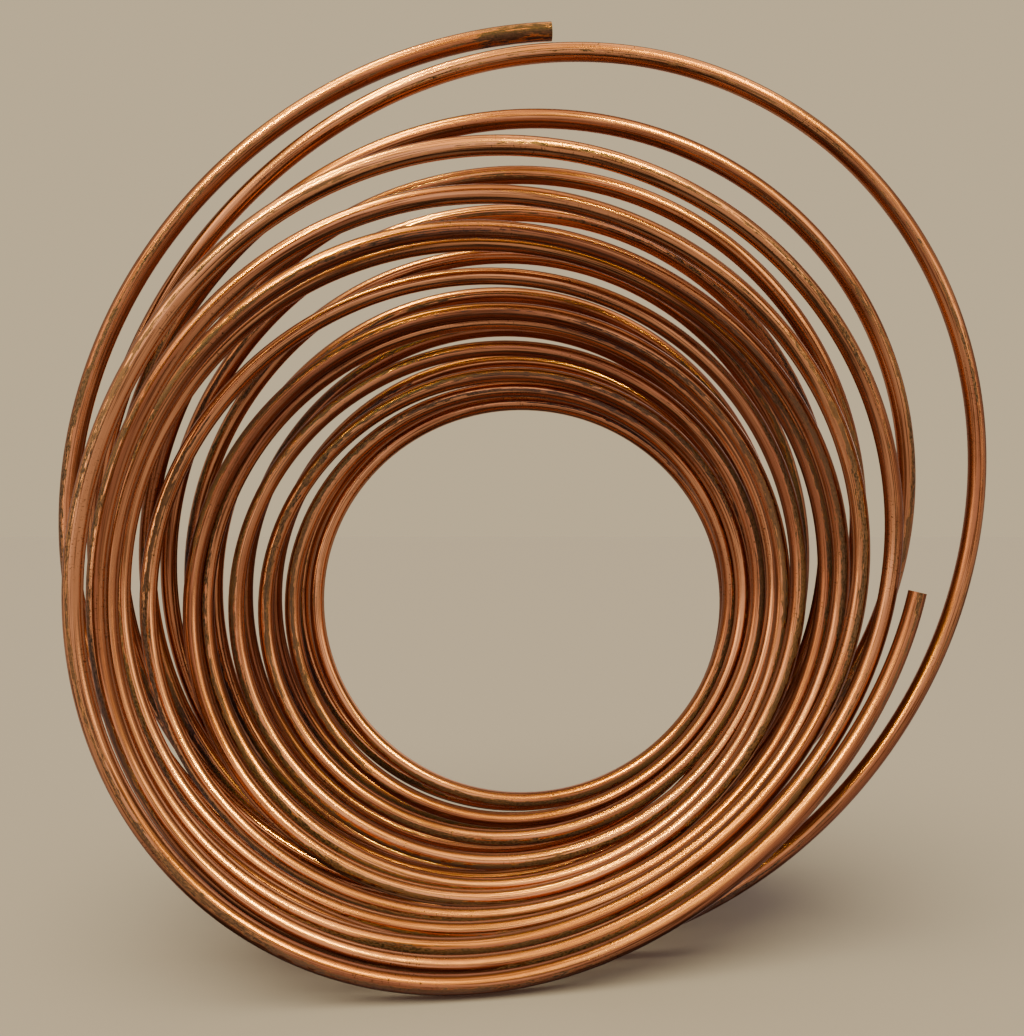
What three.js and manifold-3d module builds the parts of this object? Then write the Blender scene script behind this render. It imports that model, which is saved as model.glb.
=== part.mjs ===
// Soft copper tube in a loose coil: one length of drawn, annealed tube, wound inwards turn by turn,
// crossed over at the eye and wound outwards again in front of its own first layer. The coil has
// sprung open, so its outer turns stand forward of the eye with daylight between them.
// Millimetres, +Z up. X runs across the coil and Y from its front to its back.
import * as THREE from "three";
import { mergeVertices } from "three/addons/utils/BufferGeometryUtils.js";
import Module from "manifold-3d";

// The tube.
const tubeDiameter = 10;
const wallThickness = 0.8;
const boreDepth = 40; // the bore is open this far in from each cut end
const cutAllowance = 3; // the bore's cutter starts this far outside the cut end
const tubeSides = 8;
const boreSides = 16;

// The winding.
const turnClearance = 0.4; // least gap between turns that lie together
const eyeRadius = 130; // centre of the tube in the smallest turn
const startAngle = 91.5; // both angles run anticlockwise from the right, seen from the front
const endAngle = 7554;
const stepAngle = 12;

// The turns that give the coil its shape; those between two of them are spaced evenly. Each is given
// by its number, then by its right, top, left and bottom, each as [how far outside the eye the tube
// lies there, how far forward of the eye it lies there], then by how far the turn is drawn out along
// its rising diagonal, and last by how far it bulges at its right, upper left and lower left. All
// are counted in tube pitches.
const backLayer = [ // from the outside in
  [0, [16.5, 9.6], [18.1, 12], [11, 12.2], [5, 11.9], 0.7, 0],
  [1, [12.6, 9], [16.4, 13], [11, 8.8], [4.8, 6.2], 1.4, 0],
  [2, [9.4, 7], [12.9, 13.4], [10.5, 7.1], [4.9, 5.2], 0.6, 0],
  [3, [7.2, 5.7], [10.9, 11], [9.3, 5.8], [4.9, 4], 0.6, 0],
  [4, [5.8, 4.5], [9.8, 8.1], [8.4, 4.8], [4.9, 2.8], 0.4, 0],
  [6, [3.5, 2.1], [6.2, 3.7], [6.3, 2.6], [4.8, 0.6], 0.1, 0],
  [9, [1.7, -1.8], [0.8, -0.2], [1.5, -0.3], [1, -1.1], 0, 0],
];
const frontLayer = [ // from the inside out
  [10, [0.9, -0.2], [0, 0.9], [0.4, 0.8], [0, 1.6], 0, 0],
  [11, [0.8, 1.1], [0.7, 2.1], [1.7, 1.8], [0.9, 2.8], 0.1, 0],
  [12, [1.4, 2.1], [1.5, 2.9], [3.1, 2.8], [1.5, 4.3], 0.2, 0],
  [14, [2.8, 4.1], [4.4, 4.8], [6.2, 4.7], [3.4, 7], 0.2, 0],
  [15, [3, 5.2], [4.8, 5.9], [6.7, 5.8], [3.6, 8.3], 0.3, 0],
  [16, [3.7, 6.1], [6.4, 7.6], [8.7, 7.2], [4.1, 9.5], 0.3, 0],
  [17, [5, 6.9], [7.7, 9.8], [9.4, 9.6], [4.2, 11.1], 0.2, 0.1],
  [18, [5.4, 7.9], [7.7, 12.2], [8.8, 13], [4.1, 13.1], 0.4, 0.2],
  [19, [6.1, 8.9], [8.8, 14.4], [8.5, 15.2], [4.4, 14.3], 0.6, 0.2],
  [21, [9, 10.5], [12, 18.8], [9, 19.2], [5.1, 16.4], 1.1, 0.2],
];

const copperColour = 0xb87348;
const copperRoughness = 0.32;
const copperMetalness = 1;

const pitch = tubeDiameter + turnClearance;
const radians = Math.PI / 180;

// A value listed once for each turn, read anywhere between turns on a smooth curve.
function between(list, turn) {
  const last = list.length - 1;
  const first = Math.min(Math.max(Math.floor(turn), 0), last - 1);
  const step = turn - first;
  const from = list[first];
  const to = list[first + 1];
  if (step < 0 || step > 1) return from + (to - from) * step;
  const before = first > 0 ? list[first - 1] : 2 * from - to;
  const after = first + 2 <= last ? list[first + 2] : 2 * to - from;
  const linear = to - before;
  const square = 2 * before - 5 * from + 4 * to - after;
  const cube = 3 * (from - to) + after - before;
  return from + (linear * step + square * step ** 2 + cube * step ** 3) / 2;
}

// A quantity at every turn of a layer, read from its shaping turns.
function everyTurn(layer, quantity) {
  const allButLast = layer.slice(1).flatMap((end, index) => {
    const start = layer[index];
    const count = end[0] - start[0];
    const change = (quantity(end) - quantity(start)) / count;
    return Array.from({ length: count }, (_, step) => quantity(start) + change * step);
  });
  return [...allButLast, quantity(layer[layer.length - 1])];
}

const everyTurnOfBoth = (quantity) => [backLayer, frontLayer].flatMap((layer) => everyTurn(layer, quantity));
const sides = [0, 1, 2, 3]; // right, top, left, bottom, a quarter turn apart
const reachOf = sides.map((side) => everyTurnOfBoth((turn) => eyeRadius + turn[1 + side][0] * pitch));
const forwardOf = sides.map((side) => everyTurnOfBoth((turn) => turn[1 + side][1] * pitch));
const drawnOut = everyTurnOfBoth((turn) => turn[5] * pitch);
const bulging = everyTurnOfBoth((turn) => turn[6] * pitch);

// The centre line of the tube at an angle along the winding, measured from the centre of the eye.
function centreAt(angle) {
  const around = angle * radians;
  const turn = angle / 360;
  const [right, top, left, bottom] = sides.map((side) => between(reachOf[side], turn - side / 4));
  const forward = sides.map((side) => between(forwardOf[side], turn - side / 4));
  const outOfRound = between(drawnOut, turn - 0.5) * Math.sin(2 * around)
    + between(bulging, turn - 0.5) * Math.cos(3 * around);
  const across = (right - left) / 2 + ((right + left) / 2 + outOfRound) * Math.cos(around);
  const up = (top - bottom) / 2 + ((top + bottom) / 2 + outOfRound) * Math.sin(around);
  const lean = (forward[0] - forward[2]) / 2 * Math.cos(around)
    + (forward[1] - forward[3]) / 2 * Math.sin(around)
    + (forward[0] + forward[2] - forward[1] - forward[3]) / 4 * Math.cos(2 * around);
  const towardsFront = (forward[0] + forward[1] + forward[2] + forward[3]) / 4 + lean;
  return new THREE.Vector3(across, -towardsFront, up);
}

// The winding as a curve whose even steps are even angles, so that neighbouring turns bend together.
class Winding extends THREE.Curve {
  getPoint(t, target = new THREE.Vector3()) {
    return target.copy(centreAt(startAngle + t * (endAngle - startAngle)));
  }
  getUtoTmapping(u) {
    return u;
  }
}

function roundSection(diameter, sideCount) {
  const corners = Array.from({ length: sideCount }, (_, corner) => {
    const around = (corner + 0.5) / sideCount * 2 * Math.PI;
    return new THREE.Vector2(Math.cos(around), Math.sin(around)).multiplyScalar(diameter / 2);
  });
  return new THREE.Shape(corners);
}

const wasm = await Module();
wasm.setup();

// A closed three.js geometry as a solid that can be cut.
function solidOf(geometry) {
  geometry.deleteAttribute("normal");
  geometry.deleteAttribute("uv");
  const merged = mergeVertices(geometry, 1e-4);
  return new wasm.Manifold(new wasm.Mesh({
    numProp: 3,
    vertProperties: Float32Array.from(merged.getAttribute("position").array),
    triVerts: Uint32Array.from(merged.getIndex().array),
  }));
}

function geometryOf(solid) {
  const mesh = solid.getMesh();
  const geometry = new THREE.BufferGeometry();
  geometry.setAttribute("position", new THREE.BufferAttribute(mesh.vertProperties, 3));
  geometry.setIndex(new THREE.BufferAttribute(mesh.triVerts, 1));
  geometry.computeVertexNormals();
  return geometry;
}

const stepCount = Math.round((endAngle - startAngle) / stepAngle);
const winding = new Winding();
const tube = solidOf(new THREE.ExtrudeGeometry(roundSection(tubeDiameter, tubeSides), {
  steps: stepCount,
  bevelEnabled: false,
  extrudePath: winding,
}));

// The bore follows the straight step that the tube takes at its end.
function endBore(end, next) {
  const inwards = next.clone().sub(end).normalize();
  const outside = end.clone().addScaledVector(inwards, -cutAllowance);
  const inside = end.clone().addScaledVector(inwards, boreDepth);
  return solidOf(new THREE.ExtrudeGeometry(roundSection(tubeDiameter - 2 * wallThickness, boreSides), {
    steps: 1,
    bevelEnabled: false,
    extrudePath: new THREE.LineCurve3(outside, inside),
  }));
}

const places = winding.getSpacedPoints(stepCount);
const outerBackBore = endBore(places[0], places[1]);
const outerFrontBore = endBore(places[stepCount], places[stepCount - 1]);
const openTube = geometryOf(tube.subtract(outerBackBore).subtract(outerFrontBore));

const copperTube = new THREE.Mesh(openTube, new THREE.MeshStandardMaterial({
  color: copperColour,
  roughness: copperRoughness,
  metalness: copperMetalness,
}));
copperTube.name = "copper_tube";

// The coil stands on its lowest turns, with the origin under its middle.
openTube.computeBoundingBox();
const { min, max } = openTube.boundingBox;
copperTube.position.set(-(min.x + max.x) / 2, -(min.y + max.y) / 2, -min.z);

const copperTubeCoil = new THREE.Group();
copperTubeCoil.add(copperTube);

export default copperTubeCoil;
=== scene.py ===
import bpy
import math
import numpy as np
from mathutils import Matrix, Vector


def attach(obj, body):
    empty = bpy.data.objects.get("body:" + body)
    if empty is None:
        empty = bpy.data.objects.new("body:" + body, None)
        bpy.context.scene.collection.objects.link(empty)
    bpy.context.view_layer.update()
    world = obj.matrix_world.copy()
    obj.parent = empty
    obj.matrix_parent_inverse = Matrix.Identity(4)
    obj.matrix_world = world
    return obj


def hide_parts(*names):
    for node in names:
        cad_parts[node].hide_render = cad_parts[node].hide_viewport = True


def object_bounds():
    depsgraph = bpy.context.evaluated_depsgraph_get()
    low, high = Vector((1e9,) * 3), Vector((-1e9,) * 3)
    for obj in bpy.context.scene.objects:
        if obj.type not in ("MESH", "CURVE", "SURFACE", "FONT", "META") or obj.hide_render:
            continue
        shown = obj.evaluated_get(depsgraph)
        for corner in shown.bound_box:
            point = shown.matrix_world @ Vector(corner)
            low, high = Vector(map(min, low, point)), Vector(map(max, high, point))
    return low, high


# A coil of soft copper tube, wound in two layers and sprung open, on a plain floor in soft light.
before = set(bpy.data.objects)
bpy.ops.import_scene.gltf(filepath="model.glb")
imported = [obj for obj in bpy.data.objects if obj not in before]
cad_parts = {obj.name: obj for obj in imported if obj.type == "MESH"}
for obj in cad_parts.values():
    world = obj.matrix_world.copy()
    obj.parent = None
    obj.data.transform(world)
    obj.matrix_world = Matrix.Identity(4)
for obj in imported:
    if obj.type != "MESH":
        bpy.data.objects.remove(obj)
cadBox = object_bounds()
print("frame loaded")

mm = 0.001


def linearColour(hexColour):
    channels = [int(hexColour[i:i + 2], 16) / 255 for i in (1, 3, 5)]
    return [c / 12.92 if c <= 0.04045 else ((c + 0.055) / 1.055) ** 2.4 for c in channels] + [1.0]


def addNode(tree, kind, inputs=(), output=0, **settings):
    # Adds a node with its settings and its inputs, by place or by name, and gives one of its outputs.
    node = tree.nodes.new(kind)
    for name, value in settings.items():
        setattr(node, name, value)
    for key, value in inputs.items() if isinstance(inputs, dict) else enumerate(inputs):
        if isinstance(value, bpy.types.NodeSocket):
            tree.links.new(value, node.inputs[key])
        else:
            node.inputs[key].default_value = value
    return node.outputs[output] if len(node.outputs) else node


# The camera stands level in front of the coil, at the height of its middle.
viewpoint = {
    "place": (-12.8 * mm, -576.8 * mm, 241.7 * mm),
    "focalShare": 986 / 1024,  # of the picture's width
    "sensor": 36,
    "nearest": 20 * mm,
}


def makeCamera():
    data = bpy.data.cameras.new("camera")
    data.sensor_fit = "HORIZONTAL"
    data.sensor_width = viewpoint["sensor"]
    data.lens = viewpoint["focalShare"] * viewpoint["sensor"]
    data.clip_start = viewpoint["nearest"]
    camera = bpy.data.objects.new("camera", data)
    camera.location = viewpoint["place"]
    camera.rotation_euler = (math.radians(90), 0, 0)
    bpy.context.scene.collection.objects.link(camera)
    bpy.context.scene.camera = camera


makeCamera()
print("camera placed")

# The tube and how it is wound: the back layer from the outside in, then the front layer from the
# inside out. A shaping turn has its number, then its right, top, left and bottom, each as how far
# outside the eye it lies and how far forward of it, in tube pitches, then how far it is drawn out
# along its rising diagonal, and how far it bulges at its right, upper left and lower left.
winding = {
    "tubeDiameter": 10 * mm,
    "wallThickness": 0.8 * mm,
    "turnClearance": 0.4 * mm,
    "eyeRadius": 130 * mm,
    "startAngle": 91.5,
    "endAngle": 7554,
    "stepAngle": 0.5,
    "backLayer": [
        [0, [16.5, 9.6], [18.1, 12], [11, 12.2], [5, 11.9], 0.7, 0],
        [1, [12.6, 9], [16.4, 13], [11, 8.8], [4.8, 6.2], 1.4, 0],
        [2, [9.4, 7], [12.9, 13.4], [10.5, 7.1], [4.9, 5.2], 0.6, 0],
        [3, [7.2, 5.7], [10.9, 11], [9.3, 5.8], [4.9, 4], 0.6, 0],
        [4, [5.8, 4.5], [9.8, 8.1], [8.4, 4.8], [4.9, 2.8], 0.4, 0],
        [6, [3.5, 2.1], [6.2, 3.7], [6.3, 2.6], [4.8, 0.6], 0.1, 0],
        [9, [1.7, -1.8], [0.8, -0.2], [1.5, -0.3], [1, -1.1], 0, 0],
    ],
    "frontLayer": [
        [10, [0.9, -0.2], [0, 0.9], [0.4, 0.8], [0, 1.6], 0, 0],
        [11, [0.8, 1.1], [0.7, 2.1], [1.7, 1.8], [0.9, 2.8], 0.1, 0],
        [12, [1.4, 2.1], [1.5, 2.9], [3.1, 2.8], [1.5, 4.3], 0.2, 0],
        [14, [2.8, 4.1], [4.4, 4.8], [6.2, 4.7], [3.4, 7], 0.2, 0],
        [15, [3, 5.2], [4.8, 5.9], [6.7, 5.8], [3.6, 8.3], 0.3, 0],
        [16, [3.7, 6.1], [6.4, 7.6], [8.7, 7.2], [4.1, 9.5], 0.3, 0],
        [17, [5, 6.9], [7.7, 9.8], [9.4, 9.6], [4.2, 11.1], 0.2, 0.1],
        [18, [5.4, 7.9], [7.7, 12.2], [8.8, 13], [4.1, 13.1], 0.4, 0.2],
        [19, [6.1, 8.9], [8.8, 14.4], [8.5, 15.2], [4.4, 14.3], 0.6, 0.2],
        [21, [9, 10.5], [12, 18.8], [9, 19.2], [5.1, 16.4], 1.1, 0.2],
    ],
}


def everyTurn(quantity):
    # A quantity at every turn, spaced evenly between the shaping turns of each layer.
    values = []
    for layer in (winding["backLayer"], winding["frontLayer"]):
        numbers = [turn[0] for turn in layer]
        shaped = [quantity(turn) for turn in layer]
        values += list(np.interp(range(numbers[0], numbers[-1] + 1), numbers, shaped))
    return np.array(values)


def between(values, turn):
    # Reads a list of turns anywhere between two of them, on a smooth curve, and straight past its ends.
    padded = np.concatenate([[2 * values[0] - values[1]], values, [2 * values[-1] - values[-2]]])
    first = np.clip(np.floor(turn), 0, len(values) - 2).astype(int)
    step = turn - first
    before, start, end, after = [padded[first + i] for i in range(4)]
    square = 2 * before - 5 * start + 4 * end - after
    cube = 3 * (start - end) + after - before
    smooth = start + ((end - before) * step + square * step ** 2 + cube * step ** 3) / 2
    return np.where((step < 0) | (step > 1), start + (end - start) * step, smooth)


def centreLine(angles):
    # A turn starts at its right, so its top, left and bottom come one, two and three quarters later,
    # and how it is drawn out and bulges holds half way round.
    pitch = winding["tubeDiameter"] + winding["turnClearance"]
    around = np.radians(angles)
    turn = angles / 360
    right, top, left, bottom = [
        between(winding["eyeRadius"] + everyTurn(lambda t: t[1 + side][0]) * pitch, turn - side / 4)
        for side in range(4)
    ]
    forward = [between(everyTurn(lambda t: t[1 + side][1]) * pitch, turn - side / 4) for side in range(4)]
    outOfRound = (between(everyTurn(lambda t: t[5]) * pitch, turn - 0.5) * np.sin(2 * around)
                  + between(everyTurn(lambda t: t[6]) * pitch, turn - 0.5) * np.cos(3 * around))
    across = (right - left) / 2 + ((right + left) / 2 + outOfRound) * np.cos(around)
    up = (top - bottom) / 2 + ((top + bottom) / 2 + outOfRound) * np.sin(around)
    lean = ((forward[0] - forward[2]) / 2 * np.cos(around)
            + (forward[1] - forward[3]) / 2 * np.sin(around)
            + (forward[0] + forward[2] - forward[1] - forward[3]) / 4 * np.cos(2 * around))
    return np.stack([across, -(sum(forward) / 4 + lean), up], axis=1)


def makePath():
    # The centre line, centred in the frame's box and standing on its lowest turn.
    count = round((winding["endAngle"] - winding["startAngle"]) / winding["stepAngle"]) + 1
    places = centreLine(np.linspace(winding["startAngle"], winding["endAngle"], count))
    low, high = places.min(axis=0), places.max(axis=0)
    middle = (np.array(cadBox[0]) + np.array(cadBox[1])) / 2
    places[:, :2] += (middle - (low + high) / 2)[:2]
    places[:, 2] += winding["tubeDiameter"] / 2 - low[2]

    curve = bpy.data.curves.new("centreLine", "CURVE")
    curve.dimensions = "3D"
    spline = curve.splines.new("POLY")
    spline.points.add(len(places) - 1)
    spline.points.foreach_set("co", np.column_stack([places, np.ones(len(places))]).ravel())
    line = bpy.data.objects.new("centreLine", curve)
    bpy.context.scene.collection.objects.link(line)
    print("centre line", round(float(np.linalg.norm(np.diff(places, axis=0), axis=1).sum()), 2), "m")
    return line


# What the sweep along the centre line is given, by the name of each input.
sweep = {
    "Tube radius": winding["tubeDiameter"] / 2,
    "Wall": winding["wallThickness"],
    "Sides": 20,
    "Lengths": 3900,
    "Bore depth": 60 * mm,
    "Bore lengths": 10,
    "Out of round": 0.03,
    "Dent spacing": 45 * mm,
    "Dents around": 0.9,
    "Seed": 7,
    "Weld distance": 0.01 * mm,
    "Sharp angle": math.radians(40),
}
wholeNumbers = ("Sides", "Lengths", "Bore lengths", "Seed")


def makeSweepTree():
    tree = bpy.data.node_groups.new("tubeAlongLine", "GeometryNodeTree")
    face = tree.interface
    face.new_socket("Line", in_out="INPUT", socket_type="NodeSocketGeometry")
    for name in sweep:
        kind = "NodeSocketInt" if name in wholeNumbers else "NodeSocketFloat"
        face.new_socket(name, in_out="INPUT", socket_type=kind)
    face.new_socket("Material", in_out="INPUT", socket_type="NodeSocketMaterial")
    face.new_socket("Tube", in_out="OUTPUT", socket_type="NodeSocketGeometry")
    given = addNode(tree, "NodeGroupInput").node.outputs
    number, vector = "ShaderNodeMath", "ShaderNodeVectorMath"

    # Rows run from the bottom of one bore out to its cut end, along the tube, and into the other bore.
    # The halves keep whole numbers clear of rounding.
    columns = addNode(tree, number, [given["Sides"], 1], operation="ADD")
    boreRows = addNode(tree, number, [given["Bore lengths"], 1], operation="ADD")
    outerRows = addNode(tree, number, [given["Lengths"], 3], operation="ADD")
    rows = addNode(tree, number, [boreRows, 2, outerRows], operation="MULTIPLY_ADD")
    grid = addNode(tree, "GeometryNodeMeshGrid", {"Vertices X": rows, "Vertices Y": columns})
    index = addNode(tree, "GeometryNodeInputIndex")
    row = addNode(tree, number, [index, 0.5], operation="ADD")
    row = addNode(tree, number, [row, columns], operation="DIVIDE")
    row = addNode(tree, number, [row], operation="FLOOR")
    column = addNode(tree, number, [index, columns], operation="FLOORED_MODULO")
    lastRow = addNode(tree, number, [rows, 1], operation="SUBTRACT")
    fromLast = addNode(tree, number, [lastRow, row], operation="SUBTRACT")
    fromEnd = addNode(tree, number, [row, fromLast], operation="MINIMUM")
    outermostBore = addNode(tree, number, [boreRows, 0.5], operation="ADD")
    inBore = addNode(tree, number, [fromEnd, outermostBore], operation="LESS_THAN")
    inFarBore = addNode(tree, number, [row, fromLast], operation="GREATER_THAN")
    offAxis = addNode(tree, number, [fromEnd, 0.5], operation="GREATER_THAN")

    # Where each row lies along the line, and how far from it.
    length = addNode(tree, "GeometryNodeCurveLength", [given["Line"]])
    inwards = addNode(tree, number, [boreRows, fromEnd], operation="SUBTRACT")
    inwards = addNode(tree, number, [inwards, given["Bore lengths"]], operation="DIVIDE")
    inwards = addNode(tree, number, [inwards, 1], operation="MINIMUM")
    nearBore = addNode(tree, number, [inwards, given["Bore depth"]], operation="MULTIPLY")
    farBore = addNode(tree, number, [length, nearBore], operation="SUBTRACT")
    alongBore = addNode(tree, "ShaderNodeMix", {0: inFarBore, 2: nearBore, 3: farBore})
    outer = addNode(tree, number, [row, boreRows], operation="SUBTRACT")
    outer = addNode(tree, number, [outer, 1], operation="SUBTRACT")
    outer = addNode(tree, number, [outer, given["Lengths"]], operation="DIVIDE")
    outer = addNode(tree, number, [outer, length], operation="MULTIPLY")
    along = addNode(tree, "ShaderNodeMix", {0: inBore, 2: outer, 3: alongBore})
    wall = addNode(tree, number, [inBore, given["Wall"]], operation="MULTIPLY")
    radius = addNode(tree, number, [given["Tube radius"], wall], operation="SUBTRACT")
    radius = addNode(tree, number, [radius, offAxis], operation="MULTIPLY")

    # The tube's own directions: towards the open front of the coil, and outwards from the eye.
    position = addNode(tree, "GeometryNodeSampleCurve", {"Curves": given["Line"], "Length": along},
                       output="Position", mode="LENGTH", use_all_curves=True)
    tangent = position.node.outputs["Tangent"]
    leaning = addNode(tree, vector, [(0, -1, 0), tangent], operation="PROJECT")
    forwards = addNode(tree, vector, [(0, -1, 0), leaning], operation="SUBTRACT")
    forwards = addNode(tree, vector, [forwards], operation="NORMALIZE")
    outwards = addNode(tree, vector, [tangent, forwards], operation="CROSS_PRODUCT")
    around = addNode(tree, number, [column, given["Sides"]], operation="DIVIDE")
    around = addNode(tree, number, [around, -2 * math.pi], operation="MULTIPLY")
    cosine = addNode(tree, number, [around], operation="COSINE")
    sine = addNode(tree, number, [around], operation="SINE")
    forwards = addNode(tree, vector, {"Vector": forwards, "Scale": cosine}, operation="SCALE")
    outwards = addNode(tree, vector, {"Vector": outwards, "Scale": sine}, operation="SCALE")
    direction = addNode(tree, vector, [forwards, outwards], operation="ADD")

    # Slight ovals and dents, which change along the tube and around it.
    dent = addNode(tree, number, [along, given["Dent spacing"]], operation="DIVIDE")
    dent = addNode(tree, "ShaderNodeCombineXYZ", [cosine, sine, dent])
    dent = addNode(tree, "ShaderNodeTexNoise", {
        "Vector": dent, "W": given["Seed"], "Scale": given["Dents around"], "Detail": 1},
        noise_dimensions="4D")
    dent = addNode(tree, number, [dent, 0.5], operation="SUBTRACT")
    swell = addNode(tree, number, [dent, given["Out of round"], 1], operation="MULTIPLY_ADD")
    uneven = addNode(tree, number, [radius, swell], operation="MULTIPLY")
    place = addNode(tree, vector, {0: direction, 1: (1, 1, 1), "Scale": uneven}, operation="SCALE")
    place = addNode(tree, vector, [position, place], operation="ADD")

    # Where each point would lie if the tube were pulled straight, for the patterns of the metal.
    across = addNode(tree, number, [cosine, radius], operation="MULTIPLY")
    up = addNode(tree, number, [sine, radius], operation="MULTIPLY")
    straight = addNode(tree, "ShaderNodeCombineXYZ", [across, up, along])
    stored = addNode(tree, "GeometryNodeStoreNamedAttribute", {
        "Geometry": grid, "Name": "straightTube", "Value": straight},
        data_type="FLOAT_VECTOR", domain="POINT")

    # The rows' ends and the bottoms of the bores are welded once every point is in its place.
    placed = addNode(tree, "GeometryNodeSetPosition", {"Geometry": stored, "Position": place})
    welded = addNode(tree, "GeometryNodeMergeByDistance", {
        "Geometry": placed, "Distance": given["Weld distance"]})
    smooth = addNode(tree, "GeometryNodeSetShadeSmooth", {"Geometry": welded})
    edge = addNode(tree, "GeometryNodeInputMeshEdgeAngle")
    edge = addNode(tree, number, [edge, given["Sharp angle"]], operation="GREATER_THAN")
    sharp = addNode(tree, "GeometryNodeSetShadeSmooth", {
        "Geometry": smooth, "Selection": edge, "Shade Smooth": False}, domain="EDGE")
    real = addNode(tree, "GeometryNodeRealizeInstances", [sharp])
    metal = addNode(tree, "GeometryNodeSetMaterial", {"Geometry": real, "Material": given["Material"]})
    addNode(tree, "NodeGroupOutput", [metal])
    return tree


# Drawn annealed copper, bare and half bright: fresh metal under a thin brown film, fine lines along
# the tube from the drawing die, and a ragged grey-brown tarnish down the side that lay open.
copper = {
    "fresh": "#E29F70",
    "warm": "#A3694D",
    "brown": "#55301F",
    "tarnish": "#46343A",
    "stain": "#33212A",
    "dark": "#19120F",
    "roughness": 0.07,
    "streakRoughness": 0.24,
    "filmRoughness": 0.1,
    "dullRoughness": 0.15,
    "metallicLost": 0.9,  # under full tarnish
    "specular": 0.2,
    "bumpStrength": 0.4,
    "bumpHeight": 0.12 * mm,
    "streakHeight": 0.25,
    "dullDepth": 0.4,
    # High on the coil the tarnished side turns towards the eye and narrows, in radians round the tube.
    "turnedHigh": 0.6,
    "narrowedHigh": 0.3,
    # How fast the stain at the cut end gives out round the tube, and how ragged it is.
    "stainGivesOut": 0.6,
    "stainRagged": 3,
    # How wide each pattern's marks are round the tube, how long along it, and how detailed.
    "marks": {
        "film": (3.2 * mm, 120 * mm, 4),
        "streak": (0.6 * mm, 60 * mm, 2),
        "edge": (1.4 * mm, 7 * mm, 4),
        "nick": (1.7 * mm, 0.7 * mm, 2),
        "ripple": (8 * mm, 12 * mm, 1),
        "grain": (0.8 * mm, 1.6 * mm, 2),
    },
    # The length over which each condition of the tube comes and goes.
    "stretches": {
        "aged": 700 * mm,
        "tarnished": 420 * mm,
        "wandering": 300 * mm,
        "nicked": 80 * mm,
        "rippled": 160 * mm,
    },
    # How each pattern is read: from which value to which, and what it gives at the one and the other.
    # Middle, half width and ragged give radians round the tube, from the way that the coil opens.
    "readings": {
        "middle": (0.3, 0.7, -0.13, 0.57),
        "high": (280 * mm, 420 * mm, 0, 1),
        "halfWidth": (0.4, 0.52, -0.1, 0.36),
        "ragged": (0.5, 1.5, -0.5, 0.5),
        "band": (-0.02, 0.06, 0, 1),
        "thin": (0.45, 0.6, 1, 0.78),
        "nearEnd": (52 * mm, 36.4 * mm, -1, 0.75),
        "stained": (-0.1, 0.25, 0, 0.95),
        "lines": (0.53, 0.59, 0, 1),
        "beside": (0.4, 1.5, 0.85, 0.4),
        "nick": (0.6, 0.7, 0, 0.9),
        "nicked": (0.5, 0.62, 0, 1),
        "film": (0.88, 1.12, 0, 1),
        "grain": (0.46, 0.58, 0, 0.9),
        "grainy": (0.42, 0.56, 0.2, 1),
        "rippled": (0.46, 0.62, 0.2, 4.5),
    },
}


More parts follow.
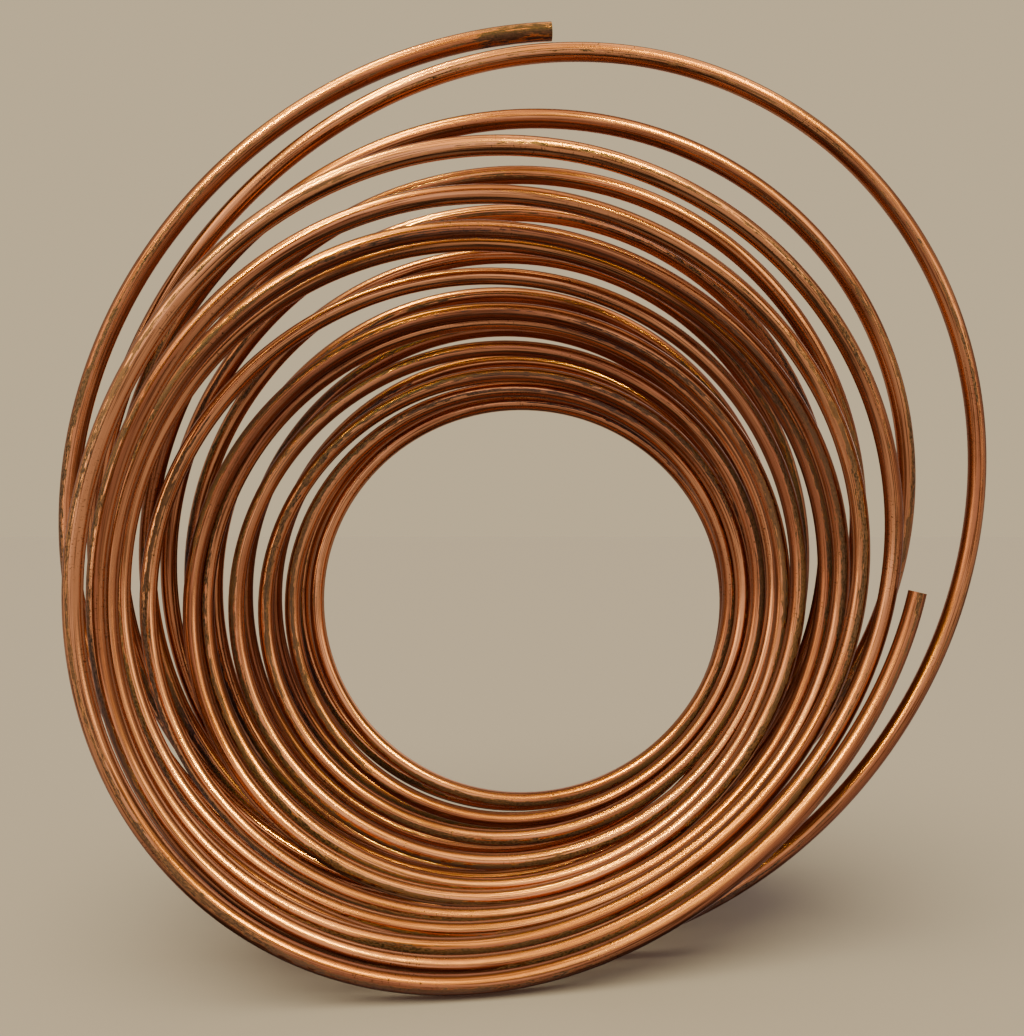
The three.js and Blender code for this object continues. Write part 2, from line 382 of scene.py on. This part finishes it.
def makeCopper():
    material = bpy.data.materials.new("drawn annealed copper")
    material.use_nodes = True
    tree = material.node_tree
    tree.nodes.clear()
    reading = copper["readings"]
    number, mapRange, noise = "ShaderNodeMath", "ShaderNodeMapRange", "ShaderNodeTexNoise"
    straight = addNode(tree, "ShaderNodeAttribute", output="Vector", attribute_name="straightTube")
    sideways, outward, along = addNode(tree, "ShaderNodeSeparateXYZ", [straight]).node.outputs
    angle = addNode(tree, number, [outward, sideways], operation="ARCTAN2")

    # Each pattern is read in a place of its own, so that no two are alike.
    mark = {}
    for place, (name, (width, length, detail)) in enumerate(copper["marks"].items()):
        scaled = addNode(tree, "ShaderNodeMapping", {
            "Vector": straight, "Location": (20 * place, 0, 0),
            "Scale": (1 / width, 1 / width, 1 / length)})
        mark[name] = addNode(tree, noise, {"Vector": scaled, "Scale": 1, "Detail": detail})
    stretch = {}
    for place, (name, length) in enumerate(copper["stretches"].items()):
        scaled = addNode(tree, number, [along, 1 / length, 100 * place], operation="MULTIPLY_ADD")
        stretch[name] = addNode(
            tree, noise, {"W": scaled, "Scale": 1, "Detail": 1}, noise_dimensions="1D")

    # Where the middle of the tarnished side is, and how wide it is.
    middle = addNode(tree, mapRange, [stretch["wandering"], *reading["middle"]])
    high = addNode(tree, "ShaderNodeTexCoord", output="Object")
    high = addNode(tree, "ShaderNodeSeparateXYZ", [high], output="Z")
    high = addNode(tree, mapRange, [high, *reading["high"]])
    middle = addNode(tree, number, [high, -copper["turnedHigh"], middle], operation="MULTIPLY_ADD")
    fromMiddle = addNode(tree, number, [angle, middle], operation="SUBTRACT")
    fromMiddle = addNode(tree, number, [fromMiddle], operation="ABSOLUTE")
    halfWidth = addNode(tree, mapRange, [stretch["tarnished"], *reading["halfWidth"]])
    halfWidth = addNode(tree, number, [high, -copper["narrowedHigh"], halfWidth], operation="MULTIPLY_ADD")

    # Its ragged edge, and the fine lines where the tarnish is thin.
    ragged = addNode(tree, number, [mark["edge"], mark["streak"]], operation="ADD")
    ragged = addNode(tree, mapRange, [ragged, *reading["ragged"]], clamp=False)
    inside = addNode(tree, number, [halfWidth, fromMiddle], operation="SUBTRACT")
    inside = addNode(tree, number, [inside, ragged], operation="ADD")
    band = addNode(tree, mapRange, [inside, *reading["band"]])
    thin = addNode(tree, mapRange, [mark["streak"], *reading["thin"]])
    band = addNode(tree, number, [band, thin], operation="MULTIPLY")

    # A dark stain by the first cut end, and dark lines on either side of the band.
    nearEnd = addNode(tree, mapRange, [along, *reading["nearEnd"]])
    nearEnd = addNode(
        tree, number, [fromMiddle, -copper["stainGivesOut"], nearEnd], operation="MULTIPLY_ADD")
    nearEnd = addNode(tree, number, [ragged, copper["stainRagged"], nearEnd], operation="MULTIPLY_ADD")
    nearEnd = addNode(tree, mapRange, [nearEnd, *reading["stained"]])
    tarnish = addNode(tree, number, [band, nearEnd], operation="MAXIMUM")
    lines = addNode(tree, mapRange, [mark["streak"], *reading["lines"]])
    beside = addNode(tree, mapRange, [fromMiddle, *reading["beside"]])
    lines = addNode(tree, number, [lines, beside], operation="MULTIPLY")

    # Dark flecks across the tube on some stretches, and the thin brown film, thicker on some.
    nick = addNode(tree, mapRange, [mark["nick"], *reading["nick"]])
    nicked = addNode(tree, mapRange, [stretch["nicked"], *reading["nicked"]])
    nick = addNode(tree, number, [nick, nicked], operation="MULTIPLY")
    film = addNode(tree, number, [mark["film"], stretch["aged"]], operation="ADD")
    film = addNode(tree, mapRange, [film, *reading["film"]])

    # Dark grains crowd on some stretches of the tarnished side and by the cut end.
    grain = addNode(tree, mapRange, [mark["grain"], *reading["grain"]])
    grainy = addNode(tree, mapRange, [stretch["rippled"], *reading["grainy"]])
    grain = addNode(tree, number, [grain, grainy], operation="MULTIPLY")
    grain = addNode(tree, number, [grain, tarnish], operation="MULTIPLY")

    # From the bare metal up: each layer has how much of it shows, and its colour.
    layers = [(film, "warm"), (lines, "brown"), (band, "tarnish")]
    layers += [(nearEnd, "stain"), (grain, "dark"), (nick, "dark")]
    colour = linearColour(copper["fresh"])
    for share, name in layers:
        colour = addNode(tree, "ShaderNodeMix", {0: share, 6: colour, 7: linearColour(copper[name])},
                         output=2, data_type="RGBA")

    # Tarnish is duller than the metal and hardly metallic, and the flecks and ripples are felt.
    dull = addNode(tree, number, [tarnish, nick], operation="MAXIMUM")
    roughness = copper["roughness"]
    for share, added in [(mark["streak"], "streak"), (film, "film"), (dull, "dull")]:
        roughness = addNode(
            tree, number, [share, copper[added + "Roughness"], roughness], operation="MULTIPLY_ADD")
    metallic = addNode(tree, number, [tarnish, -copper["metallicLost"], 1], operation="MULTIPLY_ADD")
    rippled = addNode(tree, mapRange, [stretch["rippled"], *reading["rippled"]])
    height = addNode(tree, number, [mark["ripple"], rippled], operation="MULTIPLY")
    height = addNode(
        tree, number, [mark["streak"], copper["streakHeight"], height], operation="MULTIPLY_ADD")
    height = addNode(tree, number, [dull, -copper["dullDepth"], height], operation="MULTIPLY_ADD")
    bump = addNode(tree, "ShaderNodeBump", {
        "Height": height, "Strength": copper["bumpStrength"], "Distance": copper["bumpHeight"]})
    shader = addNode(tree, "ShaderNodeBsdfPrincipled", {
        "Base Color": colour, "Metallic": metallic, "Roughness": roughness, "Normal": bump,
        "Specular IOR Level": copper["specular"]})
    addNode(tree, "ShaderNodeOutputMaterial", [shader])
    return material


def makeTube():
    # The centre line's curve carries the sweep, and only the swept mesh is kept.
    line = makePath()
    tree = makeSweepTree()
    modifier = line.modifiers.new("sweep", "NODES")
    modifier.node_group = tree
    inputs = [item for item in tree.interface.items_tree if item.in_out == "INPUT"]
    identifiers = {item.name: item.identifier for item in inputs}
    for name, value in sweep.items():
        modifier[identifiers[name]] = value
    modifier[identifiers["Material"]] = makeCopper()
    graph = bpy.context.evaluated_depsgraph_get()
    mesh = bpy.data.meshes.new_from_object(line.evaluated_get(graph), depsgraph=graph)
    line.modifiers.remove(modifier)
    bpy.data.objects.remove(line)
    tube = bpy.data.objects.new("tube", mesh)
    bpy.context.scene.collection.objects.link(tube)
    print("tube", len(mesh.vertices), "points", len(mesh.polygons), "faces")
    return tube


tube = makeTube()
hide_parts("copper_tube")
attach(tube, "root")

# A plain pale floor out to the horizon, one plain colour past it, and soft warm light.
studio = {
    "surface": "#B4B2AE",
    "surfaceRoughness": 0.6,
    "halfWidth": 12.0,
    "backdrop": "#FFE7BB",
    "backdropStrength": 0.656,
    "sky": "#FFE8D8",
    "ground": "#AC9C94",
    "skyStrength": 0.54,
    # Heights of what is seen are from -1, straight down, to 1, straight up.
    "groundEdge": (-0.72, -0.62),
    "shadeHeight": -0.8,
    "shadeWidth": (0.05, 0.13),
    "shadeStrength": 0.05,
    "dimmedBehind": 0.6,
    "wash": "#FFE9B5",
    "washPower": 3.6,
    "washFrom": (-0.2, -0.4, 1.0),
    "washSpread": 60,  # degrees across
    "lampTarget": (0, 0, 0.25),
    "smallLamp": 0.5,
}
lamps = [
    {"name": "overhead", "place": (0, -0.5, 1.6), "size": (2.2, 2.0), "power": 17.5, "colour": "#FFDE9C"},
    {"name": "front", "place": (-0.4, -1.8, 0.6), "size": (2.4, 1.2), "power": 5, "colour": "#FFF0EC"},
    {"name": "back", "place": (0.5, 1.7, 1.0), "size": (2.0, 1.2), "power": 6, "colour": "#FFEEDC"},
    {"name": "leftPanel", "place": (-1.3, -1.0, 0.75), "size": (0.7, 1.1), "power": 6, "colour": "#FFE2A8"},
    {"name": "rightPanel", "place": (1.2, -1.1, 0.75), "size": (0.6, 1.1), "power": 4, "colour": "#FFE2A8"},
    {"name": "topSpot", "place": (-0.55, -0.3, 1.7), "size": (0.5, 0.5), "power": 15, "colour": "#FFEE50"},
    {"name": "leftSpot", "place": (-0.5, -1.0, 1.1), "size": (0.4, 0.4), "power": 21, "colour": "#FFEE50"},
    {"name": "rightSpot", "place": (0.6, -0.9, 1.1), "size": (0.4, 0.4), "power": 21, "colour": "#FFEE50"},
]


def makeFloor():
    reach = studio["halfWidth"]
    corners = [(-reach, -reach, 0), (reach, -reach, 0), (reach, reach, 0), (-reach, reach, 0)]
    mesh = bpy.data.meshes.new("floor")
    mesh.from_pydata(corners, [], [(0, 1, 2, 3)])
    material = bpy.data.materials.new("pale studio floor")
    material.use_nodes = True
    shader = material.node_tree.nodes["Principled BSDF"]
    shader.inputs["Base Color"].default_value = linearColour(studio["surface"])
    shader.inputs["Roughness"].default_value = studio["surfaceRoughness"]
    mesh.materials.append(material)
    floor = bpy.data.objects.new("floor", mesh)
    # Reflections in the metal show the surroundings' ground, and its light passes the floor.
    floor.visible_glossy = False
    floor.visible_shadow = False
    bpy.context.scene.collection.objects.link(floor)
    return floor


def makeSurroundings():
    # The tube sees the ground below it, a dark ring round that, and pale walls and ceiling, dimmer
    # behind the coil. Seen past the tube, the surroundings are one plain colour like the floor.
    world = bpy.data.worlds.new("studio")
    world.use_nodes = True
    tree = world.node_tree
    tree.nodes.clear()
    number, mapRange = "ShaderNodeMath", "ShaderNodeMapRange"
    direction = addNode(tree, "ShaderNodeTexCoord", output="Generated")
    _, behind, height = addNode(tree, "ShaderNodeSeparateXYZ", [direction]).node.outputs
    walls = addNode(tree, mapRange, [height, *studio["groundEdge"], 0, 1])
    colour = addNode(tree, "ShaderNodeMix", {
        0: walls, 6: linearColour(studio["ground"]), 7: linearColour(studio["sky"])},
        output=2, data_type="RGBA")
    fromShade = addNode(tree, number, [height, -studio["shadeHeight"]], operation="ADD")
    fromShade = addNode(tree, number, [fromShade], operation="ABSOLUTE")
    strength = addNode(tree, mapRange, [
        fromShade, *studio["shadeWidth"], studio["shadeStrength"], studio["skyStrength"]])
    dimmer = addNode(tree, mapRange, [behind, -0.2, 0.2, 1, studio["dimmedBehind"]])
    strength = addNode(tree, number, [strength, dimmer], operation="MULTIPLY")
    around = addNode(tree, "ShaderNodeBackground", [colour, strength])
    backdrop = addNode(tree, "ShaderNodeBackground", [
        linearColour(studio["backdrop"]), studio["backdropStrength"]])
    seenDirectly = addNode(tree, "ShaderNodeLightPath", output="Is Camera Ray")
    shown = addNode(tree, "ShaderNodeMixShader", [seenDirectly, around, backdrop])
    addNode(tree, "ShaderNodeOutputWorld", [shown])
    bpy.context.scene.world = world


def addLamp(name, kind, power, colour, place, target, lit):
    # Points a lamp at its target, and lets it light only what is in the collection given last.
    light = bpy.data.lights.new(name, kind)
    light.energy = power
    light.color = linearColour(colour)[:3]
    holder = bpy.data.objects.new(name, light)
    holder.location = place
    towards = Vector(target) - Vector(place)
    holder.rotation_euler = towards.to_track_quat("-Z", "Y").to_euler()
    holder.light_linking.receiver_collection = lit
    bpy.context.scene.collection.objects.link(holder)
    return light


def makeLamps(floor):
    # The warm lamps light only the metal and the wash only the floor, so that the floor stays plain.
    tubeLight = bpy.data.collections.new("tube light")
    tubeLight.objects.link(tube)
    floorLight = bpy.data.collections.new("floor light")
    floorLight.objects.link(floor)
    wash = addLamp(
        "wash", "SUN", studio["washPower"], studio["wash"], studio["washFrom"], (0, 0, 0), floorLight)
    wash.angle = math.radians(studio["washSpread"])
    target = studio["lampTarget"]
    for lamp in lamps:
        light = addLamp(
            lamp["name"], "AREA", lamp["power"], lamp["colour"], lamp["place"], target, tubeLight)
        light.shape = "RECTANGLE"
        light.size, light.size_y = lamp["size"]
        # Light that comes by way of other turns would speckle the metal, most of all the small lamps'.
        light.cycles.max_bounces = 0
        light.cycles.use_multiple_importance_sampling = light.size > studio["smallLamp"]


floor = makeFloor()
makeSurroundings()
makeLamps(floor)
print("studio made")
